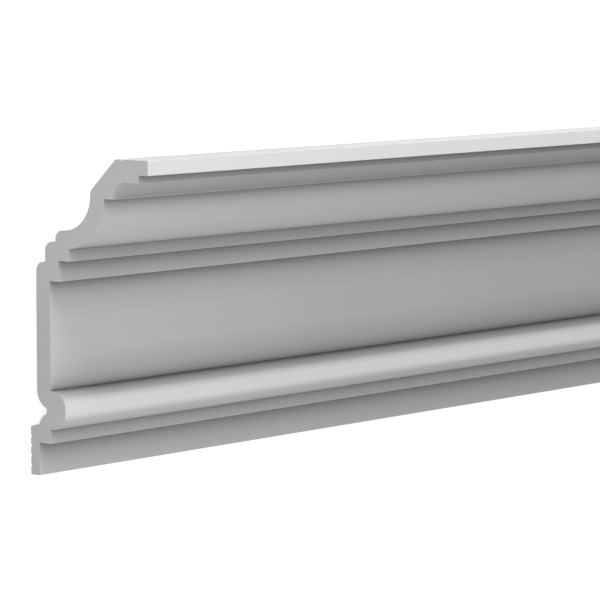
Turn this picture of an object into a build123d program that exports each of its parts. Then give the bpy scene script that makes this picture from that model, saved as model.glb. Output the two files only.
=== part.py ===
# A classical cornice moulding for the corner between a wall and a ceiling, moulded in one piece and sold as
# a straight length. It lies on its back as it would on a floor: X runs along the length, Y from the lip to
# the ceiling and Z out of the wall. The origin is the middle of its footprint.
import os
from math import sqrt
from build123d import *

# Stock length and overall section, in millimetres
LENGTH = 2000.0
HEIGHT = 200.0
PROJECTION = 100.0

# Heights of the members: the upper ones hang from the ceiling, the lower ones stand on the lip's bottom edge,
# and the plain frieze between them takes what is left of the height
CROWN_FILLET = 9.2
DRIP_FILLET = 4.8
COVE_RADIUS = 9.5
COVE_FOOT = 1.2
OVOLO_HEIGHT = 32.3
UPPER_FASCIA = 7.7
LOWER_FASCIA = 13.0
BEAD_RADIUS = 12.1
NECK_FILLET = 9.0
LIP_HEIGHT = 20.6

# How far the members stand out: the lip and the frieze from the wall, each member above from the one below it.
# The ovolo's centre is tucked in behind the upper fascia's face, and the flat soffit between the cove and the
# drip takes what is left of the projection.
LIP_PROJECTION = 7.6
FRIEZE_PROJECTION = 17.3
LOWER_FASCIA_STEP = 7.7
UPPER_FASCIA_STEP = 9.0
OVOLO_RADIUS = 34.4
OVOLO_TUCK = 4.7
QUIRK = 7.8
CROWN_STEP = 7.6
ARRIS_RADIUS = 0.5

# The hollow back follows the front at one wall thickness, a little less behind the neck, with rounded shoulders
WALL = 11.7
NECK_WALL = 10.3
SHOULDER_RADIUS = 6.0
BEAD_HOLLOW_REACH = 13.7
CROWN_BEND_RADIUS = 6.0

# The two glue faces are keyed with small round grooves: several spread over the wall seat behind the lip, and
# one near the back of the ceiling seat on top
WALL_SEAT = 30.4
WALL_SEAT_LEDGE_RISE = 1.6
CEILING_SEAT = 26.7
KEY_RADIUS = 0.8
WALL_KEY_COUNT = 4
CEILING_KEY_INSET = 5.3

# Levels of the members, measured up from the lip's bottom edge
crown_bottom = HEIGHT - CROWN_FILLET
drip_bottom = crown_bottom - DRIP_FILLET
cove_bottom = drip_bottom - COVE_RADIUS - COVE_FOOT
ovolo_bottom = cove_bottom - OVOLO_HEIGHT
upper_fascia_bottom = ovolo_bottom - UPPER_FASCIA
lower_fascia_bottom = upper_fascia_bottom - LOWER_FASCIA
bead_bottom = LIP_HEIGHT + NECK_FILLET
bead_middle = bead_bottom + BEAD_RADIUS
bead_top = bead_middle + BEAD_RADIUS

# Faces of the members, measured out from the wall
lower_fascia_face = FRIEZE_PROJECTION + LOWER_FASCIA_STEP
upper_fascia_face = lower_fascia_face + UPPER_FASCIA_STEP
ovolo_centre_depth = upper_fascia_face - OVOLO_TUCK
ovolo_centre_height = ovolo_bottom + sqrt(OVOLO_RADIUS**2 - OVOLO_TUCK**2)
ovolo_face = ovolo_centre_depth + sqrt(OVOLO_RADIUS**2 - (ovolo_centre_height - cove_bottom) ** 2)
cove_face = ovolo_face + QUIRK
drip_face = PROJECTION - CROWN_STEP
frieze_back = FRIEZE_PROJECTION - WALL
ceiling_seat_back = PROJECTION - CEILING_SEAT
ledge_top = WALL_SEAT + WALL_SEAT_LEDGE_RISE


def at(depth, height):
    """A point of the section: out from the wall, and up from the lip, about the middle of the height."""
    return Vector(height - HEIGHT / 2, depth)


def limited(radius, *runs):
    """A rounding that the runs beside its corner can hold."""
    return min(radius, 0.9 * min(runs))


with BuildPart() as cornice_moulding:
    with BuildSketch(Plane.YZ) as section:
        with BuildLine() as outline:
            # Front of the lip, the neck and the half-round bead, then the frieze and the two fascias
            Polyline(
                at(0, 0),
                at(LIP_PROJECTION, 0),
                at(LIP_PROJECTION, LIP_HEIGHT),
                at(FRIEZE_PROJECTION, LIP_HEIGHT),
                at(FRIEZE_PROJECTION, bead_bottom),
            )
            ThreePointArc(
                at(FRIEZE_PROJECTION, bead_bottom),
                at(FRIEZE_PROJECTION + BEAD_RADIUS, bead_middle),
                at(FRIEZE_PROJECTION, bead_top),
            )
            Polyline(
                at(FRIEZE_PROJECTION, bead_top),
                at(FRIEZE_PROJECTION, lower_fascia_bottom),
                at(lower_fascia_face, lower_fascia_bottom),
                at(lower_fascia_face, upper_fascia_bottom),
                at(upper_fascia_face, upper_fascia_bottom),
                at(upper_fascia_face, ovolo_bottom),
            )
            # The ovolo swells out to the quirk, and above it the cove runs into the drip and the crown fillet
            RadiusArc(
                at(upper_fascia_face, ovolo_bottom),
                at(ovolo_face, cove_bottom),
                OVOLO_RADIUS,
            )
            Polyline(
                at(ovolo_face, cove_bottom),
                at(cove_face, cove_bottom),
                at(cove_face, cove_bottom + COVE_FOOT),
            )
            RadiusArc(
                at(cove_face, cove_bottom + COVE_FOOT),
                at(cove_face + COVE_RADIUS, drip_bottom),
                -COVE_RADIUS,
            )
            Polyline(
                at(cove_face + COVE_RADIUS, drip_bottom),
                at(drip_face, drip_bottom),
                at(drip_face, crown_bottom),
                at(PROJECTION, crown_bottom),
                at(PROJECTION, HEIGHT),
                at(ceiling_seat_back, HEIGHT),
            )
            # The back slopes from the ceiling seat into a bend, and on into the hollow behind the ovolo, which
            # shares the ovolo's centre
            hollow_radius = OVOLO_RADIUS - WALL
            hollow_front = at(ovolo_centre_depth + hollow_radius, ovolo_centre_height)
            hollow_bottom = at(ovolo_centre_depth, ovolo_centre_height - hollow_radius)
            bend_centre = at(ovolo_centre_depth + hollow_radius + CROWN_BEND_RADIUS, ovolo_centre_height)
            bend = CenterArc(bend_centre, CROWN_BEND_RADIUS, 0, 360, mode=Mode.PRIVATE)
            slope = ConstrainedLines(
                bend, at(ceiling_seat_back, HEIGHT), selector=lambda lines: lines.sort_by(Axis.Y)[0]
            )
            slope_foot = Vector(slope.vertices().sort_by(Axis.Y)[0])
            RadiusArc(slope_foot, hollow_front, CROWN_BEND_RADIUS)
            RadiusArc(hollow_front, hollow_bottom, -hollow_radius)
            # Then it steps down behind the fascias and the frieze to the ledge on top of the wall seat
            ovolo_shoulder = at(upper_fascia_face - WALL, ovolo_centre_height - hollow_radius)
            upper_shoulder = at(lower_fascia_face - WALL, upper_fascia_bottom + WALL)
            lower_shoulder = at(frieze_back, lower_fascia_bottom + WALL)
            Polyline(
                hollow_bottom,
                ovolo_shoulder,
                at(upper_fascia_face - WALL, upper_fascia_bottom + WALL),
                upper_shoulder,
                at(lower_fascia_face - WALL, lower_fascia_bottom + WALL),
                lower_shoulder,
                at(frieze_back, ledge_top),
                at(0, WALL_SEAT),
                at(0, 0),
            )
        make_face()

        # Behind the bead the wall wraps round both of its inner corners and leaves a pointed hollow
        with BuildSketch(mode=Mode.PRIVATE) as bead_hollow:
            with BuildLine():
                Polyline(
                    at(frieze_back, ledge_top),
                    at(BEAD_HOLLOW_REACH, ledge_top),
                    at(BEAD_HOLLOW_REACH, bead_top),
                    at(frieze_back, bead_top),
                    close=True,
                )
            make_face()
            with Locations(at(FRIEZE_PROJECTION, bead_bottom)):
                Circle(NECK_WALL, mode=Mode.SUBTRACT)
            with Locations(at(FRIEZE_PROJECTION, bead_top)):
                Circle(WALL, mode=Mode.SUBTRACT)
        add(bead_hollow.sketch, mode=Mode.SUBTRACT)

        # Rounded shoulders of the back
        for corner, radius in (
            (ovolo_shoulder, limited(SHOULDER_RADIUS, WALL - OVOLO_TUCK, UPPER_FASCIA)),
            (upper_shoulder, limited(SHOULDER_RADIUS, UPPER_FASCIA_STEP, LOWER_FASCIA)),
            (lower_shoulder, limited(SHOULDER_RADIUS, LOWER_FASCIA_STEP)),
        ):
            fillet(section.vertices().sort_by_distance(corner)[0], radius)

        # Soft arrises, as they come out of the mould
        for arris in (
            at(LIP_PROJECTION, 0),
            at(FRIEZE_PROJECTION, LIP_HEIGHT),
            at(lower_fascia_face, lower_fascia_bottom),
            at(upper_fascia_face, upper_fascia_bottom),
            at(cove_face, cove_bottom),
            at(drip_face, drip_bottom),
            at(PROJECTION, crown_bottom),
            at(PROJECTION, HEIGHT),
        ):
            fillet(section.vertices().sort_by_distance(arris)[0], ARRIS_RADIUS)

        # Keying grooves in both glue faces
        wall_pitch = WALL_SEAT / (WALL_KEY_COUNT + 1)
        for key in range(1, WALL_KEY_COUNT + 1):
            with Locations(at(0, key * wall_pitch)):
                Circle(KEY_RADIUS, mode=Mode.SUBTRACT)
        with Locations(at(ceiling_seat_back + CEILING_KEY_INSET, HEIGHT)):
            Circle(KEY_RADIUS, mode=Mode.SUBTRACT)
    extrude(amount=LENGTH / 2, both=True)

cornice_moulding.part.label = "cornice_moulding"

os.makedirs("parts", exist_ok=True)
export_step(cornice_moulding.part, "parts/cornice_moulding.step")
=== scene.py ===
from math import acos, asin, atan2, ceil, cos, hypot, radians, sin, sqrt

import bmesh
import bpy
from mathutils import Matrix, Vector


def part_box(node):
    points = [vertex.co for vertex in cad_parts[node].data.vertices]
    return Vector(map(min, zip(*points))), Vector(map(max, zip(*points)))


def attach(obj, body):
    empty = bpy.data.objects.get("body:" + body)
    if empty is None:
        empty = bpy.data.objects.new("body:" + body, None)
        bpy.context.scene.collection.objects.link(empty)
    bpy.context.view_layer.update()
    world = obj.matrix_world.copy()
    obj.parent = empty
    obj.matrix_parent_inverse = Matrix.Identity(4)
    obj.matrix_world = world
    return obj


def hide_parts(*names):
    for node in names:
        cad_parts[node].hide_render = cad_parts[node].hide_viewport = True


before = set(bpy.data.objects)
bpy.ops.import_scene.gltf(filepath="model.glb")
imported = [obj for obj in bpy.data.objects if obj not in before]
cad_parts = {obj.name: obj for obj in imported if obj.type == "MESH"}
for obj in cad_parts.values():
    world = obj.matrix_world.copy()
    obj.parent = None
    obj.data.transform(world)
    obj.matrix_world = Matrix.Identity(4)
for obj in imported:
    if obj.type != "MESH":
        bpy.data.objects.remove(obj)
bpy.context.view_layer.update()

# The cornice moulding: one straight length of rigid polyurethane foam, cast round a core in a long mould,
# primed white and sawn square at both ends. It is glued to the wall by the keyed back of its lip and to the
# ceiling by its keyed top. Here it lies on its back: X is its length, Y its height and Z its depth.
MM = 0.001
low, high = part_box("cornice_moulding")
HEIGHT = (high.y - low.y) / MM
PROJECTION = (high.z - low.z) / MM
CROWN_FILLET = 9.2
DRIP_FILLET = 4.8
CROWN_STEP = 7.6
COVE_RADIUS = 9.5
COVE_FOOT = 1.2
QUIRK = 7.8
OVOLO_HEIGHT = 32.3
OVOLO_RADIUS = 34.4
OVOLO_TUCK = 4.7
UPPER_FASCIA = 7.7
UPPER_FASCIA_STEP = 9.0
LOWER_FASCIA = 13.0
LOWER_FASCIA_STEP = 7.7
FRIEZE_PROJECTION = 17.3
BEAD_HALF_HEIGHT = 12.1
BEAD_STAND = 12.7
BEAD_FRONT_RADIUS = 24.0
BEAD_SHOULDER_RADIUS = 10.8
NECK_FILLET = 9.0
LIP_HEIGHT = 20.6
LIP_PROJECTION = 7.6
WALL = 11.7
NECK_WALL = 10.3
SHOULDER_RADIUS = 6.0
BEAD_HOLLOW_REACH = 13.7
CROWN_BEND_RADIUS = 6.0
WALL_SEAT = 30.4
WALL_SEAT_LEDGE_RISE = 1.6
CEILING_SEAT = 26.7
KEY_RADIUS = 0.8
WALL_KEY_COUNT = 4
CEILING_KEY_INSET = 5.3
ARC_STEP = radians(2.5)
FEWEST_ARC_STEPS = 4

crown_bottom = HEIGHT - CROWN_FILLET
drip_bottom = crown_bottom - DRIP_FILLET
cove_bottom = drip_bottom - COVE_RADIUS - COVE_FOOT
ovolo_bottom = cove_bottom - OVOLO_HEIGHT
upper_fascia_bottom = ovolo_bottom - UPPER_FASCIA
lower_fascia_bottom = upper_fascia_bottom - LOWER_FASCIA
bead_bottom = LIP_HEIGHT + NECK_FILLET
bead_middle = bead_bottom + BEAD_HALF_HEIGHT
bead_top = bead_middle + BEAD_HALF_HEIGHT
lower_fascia_face = FRIEZE_PROJECTION + LOWER_FASCIA_STEP
upper_fascia_face = lower_fascia_face + UPPER_FASCIA_STEP
ovolo_depth = upper_fascia_face - OVOLO_TUCK
ovolo_level = ovolo_bottom + sqrt(OVOLO_RADIUS**2 - OVOLO_TUCK**2)
ovolo_face = ovolo_depth + sqrt(OVOLO_RADIUS**2 - (ovolo_level - cove_bottom) ** 2)
cove_face = ovolo_face + QUIRK
cove_front = cove_face + COVE_RADIUS
drip_face = PROJECTION - CROWN_STEP
ceiling_seat_back = PROJECTION - CEILING_SEAT
frieze_back = FRIEZE_PROJECTION - WALL
ledge_top = WALL_SEAT + WALL_SEAT_LEDGE_RISE


def at(depth, height):
    """A point of the left end's outline, out from the wall and up from the lip's bottom edge."""
    return Vector((low.x, low.y + height * MM, low.z + depth * MM))


def line(pen, *points):
    """Draws straight stretches of the outline on from the pen's vertex, and returns their last vertex."""
    for point in points:
        pen = bmesh.ops.extrude_vert_indiv(moulding, verts=[pen])["verts"][0]
        pen.co = at(*point)
    return pen


def arc(pen, centre, end):
    """Draws a round stretch about a centre, the shorter way round, and returns its last vertex."""
    middle = at(*centre)
    angle = (at(*end) - middle).yz.angle_signed((pen.co - middle).yz)
    steps = max(FEWEST_ARC_STEPS, ceil(abs(angle) / ARC_STEP))
    spun = bmesh.ops.spin(moulding, geom=[pen], cent=middle, axis=(1, 0, 0), angle=angle, steps=steps)
    return spun["geom_last"][0]


# The front of the section, from the lip's bottom edge up to the crown
moulding = bmesh.new()
first = moulding.verts.new(at(0, 0))
pen = line(
    first,
    (LIP_PROJECTION, 0),
    (LIP_PROJECTION, LIP_HEIGHT),
    (FRIEZE_PROJECTION, LIP_HEIGHT),
    (FRIEZE_PROJECTION, bead_bottom),
)

# The bead is a full half-round: one flat arc in front that runs into a rounder shoulder above and below
bead_shoulder_rise = BEAD_HALF_HEIGHT - BEAD_SHOULDER_RADIUS
bead_shoulder_offset = BEAD_FRONT_RADIUS - BEAD_SHOULDER_RADIUS
bead_shoulder_turn = asin(bead_shoulder_rise / bead_shoulder_offset)
bead_front_depth = FRIEZE_PROJECTION + BEAD_STAND - BEAD_FRONT_RADIUS
bead_shoulder_depth = bead_front_depth + bead_shoulder_offset * cos(bead_shoulder_turn)
meeting_depth = bead_front_depth + BEAD_FRONT_RADIUS * cos(bead_shoulder_turn)
meeting_rise = BEAD_FRONT_RADIUS * sin(bead_shoulder_turn)
lower_shoulder_centre = (bead_shoulder_depth, bead_middle - bead_shoulder_rise)
upper_shoulder_centre = (bead_shoulder_depth, bead_middle + bead_shoulder_rise)
pen = line(pen, (bead_shoulder_depth, bead_bottom))
pen = arc(pen, lower_shoulder_centre, (meeting_depth, bead_middle - meeting_rise))
pen = arc(pen, (bead_front_depth, bead_middle), (meeting_depth, bead_middle + meeting_rise))
pen = arc(pen, upper_shoulder_centre, (bead_shoulder_depth, bead_top))

# The frieze, the two fascias, the ovolo, the cove, the drip fillet and the crown fillet
pen = line(
    pen,
    (FRIEZE_PROJECTION, bead_top),
    (FRIEZE_PROJECTION, lower_fascia_bottom),
    (lower_fascia_face, lower_fascia_bottom),
    (lower_fascia_face, upper_fascia_bottom),
    (upper_fascia_face, upper_fascia_bottom),
    (upper_fascia_face, ovolo_bottom),
)
pen = arc(pen, (ovolo_depth, ovolo_level), (ovolo_face, cove_bottom))
pen = line(pen, (cove_face, cove_bottom), (cove_face, cove_bottom + COVE_FOOT))
pen = arc(pen, (cove_front, cove_bottom + COVE_FOOT), (cove_front, drip_bottom))
pen = line(
    pen,
    (drip_face, drip_bottom),
    (drip_face, crown_bottom),
    (PROJECTION, crown_bottom),
    (PROJECTION, HEIGHT),
)

# All vertices drawn so far are the front's
front = set(moulding.verts)

# The ceiling seat with its keying groove, from the front to the back
key_depth = ceiling_seat_back + CEILING_KEY_INSET
pen = line(pen, (key_depth + KEY_RADIUS, HEIGHT))
pen = arc(pen, (key_depth, HEIGHT), (key_depth, HEIGHT - KEY_RADIUS))
pen = arc(pen, (key_depth, HEIGHT), (key_depth - KEY_RADIUS, HEIGHT))
pen = line(pen, (ceiling_seat_back, HEIGHT))

# The back slopes down to a bend and runs on into the hollow behind the ovolo, which shares the ovolo's centre
hollow_radius = OVOLO_RADIUS - WALL
hollow_front = ovolo_depth + hollow_radius
hollow_bottom = ovolo_level - hollow_radius
bend_depth = hollow_front + CROWN_BEND_RADIUS
seat_run = ceiling_seat_back - bend_depth
seat_rise = HEIGHT - ovolo_level
slope_turn = atan2(seat_rise, seat_run) + acos(CROWN_BEND_RADIUS / hypot(seat_run, seat_rise))
slope_foot = (
    bend_depth + CROWN_BEND_RADIUS * cos(slope_turn),
    ovolo_level + CROWN_BEND_RADIUS * sin(slope_turn),
)
pen = line(pen, slope_foot)
pen = arc(pen, (bend_depth, ovolo_level), (hollow_front, ovolo_level))
pen = arc(pen, (ovolo_depth, ovolo_level), (ovolo_depth, hollow_bottom))

# Rounded shoulders step down behind the fascias and the frieze, each by its depth, its top and its foot
back_shoulders = (
    (upper_fascia_face - WALL, hollow_bottom, upper_fascia_bottom + WALL),
    (lower_fascia_face - WALL, upper_fascia_bottom + WALL, lower_fascia_bottom + WALL),
    (frieze_back, lower_fascia_bottom + WALL, bead_top),
)
for depth, top, foot in back_shoulders:
    centre = (depth + SHOULDER_RADIUS, top - SHOULDER_RADIUS)
    pen = line(pen, (depth + SHOULDER_RADIUS, top))
    pen = arc(pen, centre, (depth, top - SHOULDER_RADIUS))
    pen = line(pen, (depth, foot))

# Behind the bead the wall wraps round both inner corners, and below is the ledge over the keyed wall seat
reach_inset = FRIEZE_PROJECTION - BEAD_HOLLOW_REACH
reach_top = bead_top - sqrt(WALL**2 - reach_inset**2)
reach_bottom = bead_bottom + sqrt(NECK_WALL**2 - reach_inset**2)
ledge_depth = FRIEZE_PROJECTION - sqrt(NECK_WALL**2 - (ledge_top - bead_bottom) ** 2)
pen = arc(pen, (FRIEZE_PROJECTION, bead_top), (BEAD_HOLLOW_REACH, reach_top))
pen = line(pen, (BEAD_HOLLOW_REACH, reach_bottom))
pen = arc(pen, (FRIEZE_PROJECTION, bead_bottom), (ledge_depth, ledge_top))
pen = line(pen, (frieze_back, ledge_top), (0, WALL_SEAT))
wall_pitch = WALL_SEAT / (WALL_KEY_COUNT + 1)
for key in range(WALL_KEY_COUNT, 0, -1):
    key_level = key * wall_pitch
    pen = line(pen, (0, key_level + KEY_RADIUS))
    pen = arc(pen, (0, key_level), (KEY_RADIUS, key_level))
    pen = arc(pen, (0, key_level), (0, key_level - KEY_RADIUS))
bmesh.ops.contextual_create(moulding, geom=[pen, first])

# The closed outline is drawn out to the whole length
bmesh.ops.contextual_create(moulding, geom=moulding.edges[:])
drawn = bmesh.ops.extrude_face_region(moulding, geom=moulding.faces[:], use_keep_orig=True)
far_end = [part for part in drawn["geom"] if isinstance(part, bmesh.types.BMVert)]
bmesh.ops.translate(moulding, verts=far_end, vec=(high.x - low.x, 0, 0))
bmesh.ops.recalc_face_normals(moulding, faces=moulding.faces[:])

# The ends are sawn, the front is primed, and the back and both glue faces are bare as they leave the mould.
# A face along the length is part of the front when both of its vertices at the left end are.
PRIMED, SAWN, BARE = 0, 1, 2
END_FACING = 0.9
for face in moulding.faces:
    if abs(face.normal.x) > END_FACING:
        face.material_index = SAWN
    elif len(front.intersection(face.verts)) == 2:
        face.material_index = PRIMED
    else:
        face.material_index = BARE

# Soft arrises along the front, as they come out of the mould
ARRIS_RADIUS = 0.3
ARRIS_STEPS = 4
TOUCHING = 0.01
arris_points = (
    at(LIP_PROJECTION, 0),
    at(FRIEZE_PROJECTION, LIP_HEIGHT),
    at(lower_fascia_face, lower_fascia_bottom),
    at(upper_fascia_face, upper_fascia_bottom),
    at(cove_face, cove_bottom),
    at(drip_face, drip_bottom),
    at(PROJECTION, crown_bottom),
    at(PROJECTION, HEIGHT),
)
arrises = []
for edge in moulding.edges:
    near, far = edge.verts
    runs_along = abs(near.co.x - far.co.x) > TOUCHING * MM
    away = min((near.co.yz - point.yz).length for point in arris_points)
    if runs_along and away < TOUCHING * MM:
        arrises.append(edge)
bmesh.ops.bevel(
    moulding,
    geom=arrises,
    offset=ARRIS_RADIUS * MM,
    segments=ARRIS_STEPS,
    profile=0.5,
    affect="EDGES",
    material=-1,
)

# Round members are smooth to the eye, and the corners between members are crisp
CRISP = radians(30)
for edge in moulding.edges:
    edge.smooth = edge.calc_face_angle() < CRISP
for face in moulding.faces:
    face.smooth = True

cornice_mesh = bpy.data.meshes.new("cornice")
moulding.to_mesh(cornice_mesh)
moulding.free()
cornice = bpy.data.objects.new("cornice", cornice_mesh)
bpy.context.collection.objects.link(cornice)
even_shading = cornice.modifiers.new("even_shading", "WEIGHTED_NORMAL")
even_shading.keep_sharp = True


def linear(hex_colour):
    """A linear colour with full alpha, from an sRGB hex value such as E4E4E4."""
    channels = [int(hex_colour[i:i + 2], 16) / 255 for i in (0, 2, 4)]
    return [c / 12.92 if c <= 0.04045 else ((c + 0.055) / 1.055) ** 2.4 for c in channels] + [1.0]


def add_node(tree, kind, settings=None, **inputs):
    """Adds a node with its settings, and sets or links its inputs by name or, as in _6, by their place."""
    node = tree.nodes.new(kind)
    for name, value in (settings or {}).items():
        setattr(node, name, value)
    for name, value in inputs.items():
        socket = node.inputs[int(name[1:])] if name[1:].isdigit() else node.inputs[name.replace("_", " ")]
        if isinstance(value, bpy.types.NodeSocket):
            tree.links.new(value, socket)
        else:
            socket.default_value = value
    return node


def new_finish(name):
    """Gives the moulding its next finish: returns its node tree, its shader and its Object coordinates."""
    finish = bpy.data.materials.new(name)
    finish.use_nodes = True
    cornice_mesh.materials.append(finish)
    spot = add_node(finish.node_tree, "ShaderNodeTexCoord").outputs["Object"]
    return finish.node_tree, finish.node_tree.nodes["Principled BSDF"], spot


# Sprayed primer on moulded foam: a dead matt, neutral white with a faint orange peel, whose weight drifts a
# little along the length. Painted shade: the colour greys towards the inner corners and under the overhangs.
PRIMER = "E4E4E4"
DRIFT_PRIMER = "E0E0E0"
CORNER_SHADE_GREY = "565656"
SHADE_REACH = 25.0
SHADE_FALL = 2.3
SHADE_SAMPLES = 16
DRIFT_LENGTH = 90.0
DRIFT_DETAIL = 1.0
PEEL_SIZE = 1.6
PEEL_DETAIL = 2.0
PEEL_HEIGHT = 0.03
MATT, MATTEST = 0.7, 0.85
PRIMER_SHINE = 0.25
tree, shader, spot = new_finish("primed_polyurethane_foam")
shader.inputs["Specular IOR Level"].default_value = PRIMER_SHINE
drift = add_node(
    tree, "ShaderNodeTexNoise", Vector=spot, Scale=1 / (DRIFT_LENGTH * MM), Detail=DRIFT_DETAIL
)
coat = add_node(
    tree,
    "ShaderNodeMix",
    {"data_type": "RGBA"},
    Factor=drift.outputs["Fac"],
    _6=linear(DRIFT_PRIMER),
    _7=linear(PRIMER),
)
# Painted shade: the less of the room a point sees within the reach, the nearer its colour is to the corner
# grey
openness = add_node(
    tree,
    "ShaderNodeAmbientOcclusion",
    {"samples": SHADE_SAMPLES, "only_local": True},
    Distance=SHADE_REACH * MM,
)
shade_mask = add_node(
    tree,
    "ShaderNodeMath",
    {"operation": "POWER"},
    _0=openness.outputs["AO"],
    _1=SHADE_FALL,
)
shaded_coat = add_node(
    tree,
    "ShaderNodeMix",
    {"data_type": "RGBA"},
    Factor=shade_mask.outputs[0],
    _6=linear(CORNER_SHADE_GREY),
    _7=coat.outputs[2],
)
tree.links.new(shaded_coat.outputs[2], shader.inputs["Base Color"])
peel = add_node(tree, "ShaderNodeTexNoise", Vector=spot, Scale=1 / (PEEL_SIZE * MM), Detail=PEEL_DETAIL)
sheen = add_node(tree, "ShaderNodeMapRange", Value=peel.outputs["Fac"], To_Min=MATT, To_Max=MATTEST)
tree.links.new(sheen.outputs[0], shader.inputs["Roughness"])
relief = add_node(
    tree, "ShaderNodeBump", Height=peel.outputs["Fac"], Strength=1.0, Distance=PEEL_HEIGHT * MM
)
tree.links.new(relief.outputs["Normal"], shader.inputs["Normal"])

# The sawn ends: bare foam, as white as the primer but rougher, with open cells and the saw's faint scoring
# along the height. The cells are really about 0.3 mm wide, and are drawn three times as coarse to show.
FOAM = "E4E4E4"
OPEN_CELL = "DADADA"
CELL_SIZE = 0.9
CELL_DEPTH = 0.02
SAW_PITCH = 1.8
SAW_DEPTH = 0.02
SAW_WANDER = 3.0
SAW_DETAIL = 2.0
SAW_DETAIL_SCALE = 0.5
FOAM_ROUGHNESS = 0.9
FOAM_SHINE = 0.1
tree, shader, spot = new_finish("sawn_polyurethane_foam")
shader.inputs["Roughness"].default_value = FOAM_ROUGHNESS
shader.inputs["Specular IOR Level"].default_value = FOAM_SHINE
cells = add_node(tree, "ShaderNodeTexVoronoi", Vector=spot, Scale=1 / (CELL_SIZE * MM))
foam = add_node(
    tree,
    "ShaderNodeMix",
    {"data_type": "RGBA"},
    Factor=cells.outputs["Distance"],
    _6=linear(OPEN_CELL),
    _7=linear(FOAM),
)
tree.links.new(foam.outputs[2], shader.inputs["Base Color"])

# A wave at a scale of one goes through 20 radians in a metre
WAVE_TURN = 20.0
scoring = add_node(
    tree,
    "ShaderNodeTexWave",
    {"wave_type": "BANDS", "bands_direction": "Z"},
    Vector=spot,
    Scale=radians(360) / (WAVE_TURN * SAW_PITCH * MM),
    Distortion=SAW_WANDER,
    Detail=SAW_DETAIL,
    Detail_Scale=SAW_DETAIL_SCALE,
)
pits = add_node(
    tree, "ShaderNodeBump", Height=cells.outputs["Distance"], Strength=1.0, Distance=CELL_DEPTH * MM
)
scored = add_node(
    tree,
    "ShaderNodeBump",
    Height=scoring.outputs["Fac"],
    Strength=1.0,
    Distance=SAW_DEPTH * MM,
    Normal=pits.outputs["Normal"],
)
tree.links.new(scored.outputs["Normal"], shader.inputs["Normal"])

# The back and the glue faces: the foam's own skin as it leaves the mould, a shade greyer than the primer,
# dull and a little uneven, with the shallow dents of gas bubbles that lay against the mould.
SKIN = "DADADA"
DULL_SKIN = "CECECE"
FLOW_LENGTH = 35.0
FLOW_DETAIL = 3.0
BUBBLE_SIZE = 3.5
BUBBLE_DEPTH = 0.06
DULL, DULLEST = 0.6, 0.8
SKIN_SHINE = 0.25
tree, shader, spot = new_finish("bare_polyurethane_skin")
shader.inputs["Specular IOR Level"].default_value = SKIN_SHINE
flow = add_node(tree, "ShaderNodeTexNoise", Vector=spot, Scale=1 / (FLOW_LENGTH * MM), Detail=FLOW_DETAIL)
skin = add_node(
    tree,
    "ShaderNodeMix",
    {"data_type": "RGBA"},
    Factor=flow.outputs["Fac"],
    _6=linear(DULL_SKIN),
    _7=linear(SKIN),
)
tree.links.new(skin.outputs[2], shader.inputs["Base Color"])
sheen = add_node(tree, "ShaderNodeMapRange", Value=flow.outputs["Fac"], To_Min=DULL, To_Max=DULLEST)
tree.links.new(sheen.outputs[0], shader.inputs["Roughness"])
bubbles = add_node(
    tree, "ShaderNodeTexVoronoi", {"feature": "SMOOTH_F1"}, Vector=spot, Scale=1 / (BUBBLE_SIZE * MM)
)
dents = add_node(
    tree, "ShaderNodeBump", Height=bubbles.outputs["Distance"], Strength=1.0, Distance=BUBBLE_DEPTH * MM
)
tree.links.new(dents.outputs["Normal"], shader.inputs["Normal"])

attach(cornice, "root")
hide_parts("cornice_moulding")

# The floor: a wide sheet of matt paper that the moulding lies on, a hair below it so that no faces coincide.
# It is grey, and a glow that only the eye sees makes it white, with the moulding's faint shadow left on it.
FLOOR_SIDE = 80.0
FLOOR_GAP = 0.2
PAPER = "A0A0A0"
WHITE = "FFFFFF"
PAPER_GLOW = 0.89
floor_bm = bmesh.new()
bmesh.ops.create_grid(floor_bm, x_segments=1, y_segments=1, size=FLOOR_SIDE / 2)
bmesh.ops.translate(floor_bm, verts=floor_bm.verts[:], vec=(0, 0, low.z - FLOOR_GAP * MM))
floor_mesh = bpy.data.meshes.new("floor")
floor_bm.to_mesh(floor_mesh)
floor_bm.free()
floor = bpy.data.objects.new("floor", floor_mesh)
bpy.context.collection.objects.link(floor)
paper = bpy.data.materials.new("white_paper")
paper.use_nodes = True
tree = paper.node_tree
tree.nodes.remove(tree.nodes["Principled BSDF"])


def rays_to_the_eye(tree):
    """A socket that is 1 for what is seen, straight or in a gloss or glass, and 0 for light on its way."""
    rays = add_node(tree, "ShaderNodeLightPath").outputs
    straight = add_node(
        tree,
        "ShaderNodeMath",
        {"operation": "MAXIMUM"},
        _0=rays["Is Camera Ray"],
        _1=rays["Is Glossy Ray"],
    )
    every = add_node(
        tree,
        "ShaderNodeMath",
        {"operation": "MAXIMUM"},
        _0=straight.outputs[0],
        _1=rays["Is Transmission Ray"],
    )
    return every.outputs[0]


sheet = add_node(tree, "ShaderNodeBsdfDiffuse", Color=linear(PAPER))
glow = add_node(tree, "ShaderNodeEmission", Color=linear(WHITE), Strength=PAPER_GLOW)
seen = add_node(tree, "ShaderNodeAddShader", _0=sheet.outputs[0], _1=glow.outputs[0])
either = add_node(
    tree, "ShaderNodeMixShader", Fac=rays_to_the_eye(tree), _1=sheet.outputs[0], _2=seen.outputs[0]
)
tree.links.new(either.outputs[0], tree.nodes["Material Output"].inputs["Surface"])
floor_mesh.materials.append(paper)

# The light: a long strip over the crown's side that just clears the crown and catches the bead, a weak strip
# in front, and a box off the left end, in a room with even light. Lengths are in metres.
EVEN_LIGHT = 0.27
LAMP_HEIGHT = 0.05


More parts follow.
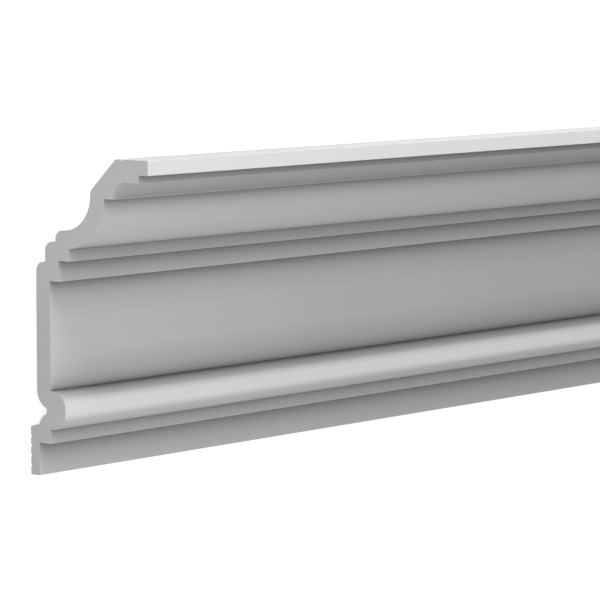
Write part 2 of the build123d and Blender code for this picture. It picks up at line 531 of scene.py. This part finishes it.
def softbox(name, climb, distance, over, aim, length, width, watts):
    """A lamp by its climb from out of the wall up to the ceiling, over one place and aimed at another."""
    target = Vector((aim, 0, LAMP_HEIGHT))
    out = Vector((0, sin(radians(climb)), cos(radians(climb))))
    lamp_spot = Vector((over, 0, LAMP_HEIGHT)) + out * distance
    back = (lamp_spot - target).normalized()
    along = (Vector((1, 0, 0)) - back * back.x).normalized()
    lamp_data = bpy.data.lights.new(name, "AREA")
    lamp_data.shape = "RECTANGLE"
    lamp_data.size = length
    lamp_data.size_y = width
    lamp_data.energy = watts
    lamp = bpy.data.objects.new(name, lamp_data)
    turn = Matrix((along, back.cross(along), back)).transposed().to_4x4()
    lamp.matrix_world = Matrix.Translation(lamp_spot) @ turn
    lamp.visible_camera = False
    bpy.context.collection.objects.link(lamp)


softbox("crown_strip", climb=64, distance=2.0, over=-0.2, aim=0.0, length=2.6, width=0.1, watts=45)
softbox("front_strip", climb=-15, distance=1.2, over=-0.2, aim=0.0, length=2.4, width=0.4, watts=1.9)
softbox("end_box", climb=-12, distance=0.8, over=-1.75, aim=-0.95, length=0.4, width=0.4, watts=4.7)
world = bpy.data.worlds.new("studio")
bpy.context.scene.world = world
world.use_nodes = True
tree = world.node_tree
backdrop = tree.nodes["Background"]
backdrop.inputs["Color"].default_value = linear(WHITE)
room = add_node(tree, "ShaderNodeBackground", Color=linear(WHITE), Strength=EVEN_LIGHT)
either = add_node(
    tree, "ShaderNodeMixShader", Fac=rays_to_the_eye(tree), _1=room.outputs[0], _2=backdrop.outputs[0]
)
tree.links.new(either.outputs[0], tree.nodes["World Output"].inputs["Surface"])

# The camera: a long lens in front of the left end and a little above, so that the length runs away to the
# right. The bottom back corner of the lip's left end shows at one pixel, where a pixel covers a known size.
LENGTH_TURN = radians(40.1)
PITCH = radians(5.82)
IMAGE_SIDE = 600
FOCAL_PIXELS = 3454
SENSOR = 36.0
CORNER_PIXEL = Vector((31.35, 474.2))
MM_PER_PIXEL = 0.6253
FAR_LIMIT = 100.0
forward = Vector((cos(PITCH) * cos(LENGTH_TURN), -sin(PITCH), -cos(PITCH) * sin(LENGTH_TURN)))
right = forward.cross(Vector((0, 1, 0))).normalized()
up = right.cross(forward)
from_centre = (CORNER_PIXEL - Vector((IMAGE_SIDE / 2, IMAGE_SIDE / 2))) * MM_PER_PIXEL * MM
eye_distance = FOCAL_PIXELS * MM_PER_PIXEL * MM
place = at(0, 0) - forward * eye_distance - right * from_centre.x + up * from_centre.y
camera_data = bpy.data.cameras.new("camera")
camera_data.sensor_width = SENSOR
camera_data.lens = SENSOR * FOCAL_PIXELS / IMAGE_SIDE
camera_data.clip_end = FAR_LIMIT
camera = bpy.data.objects.new("camera", camera_data)
camera.matrix_world = Matrix.Translation(place) @ Matrix((right, up, -forward)).transposed().to_4x4()
bpy.context.collection.objects.link(camera)
bpy.context.scene.camera = camera

bpy.context.scene.view_settings.view_transform = "Standard"
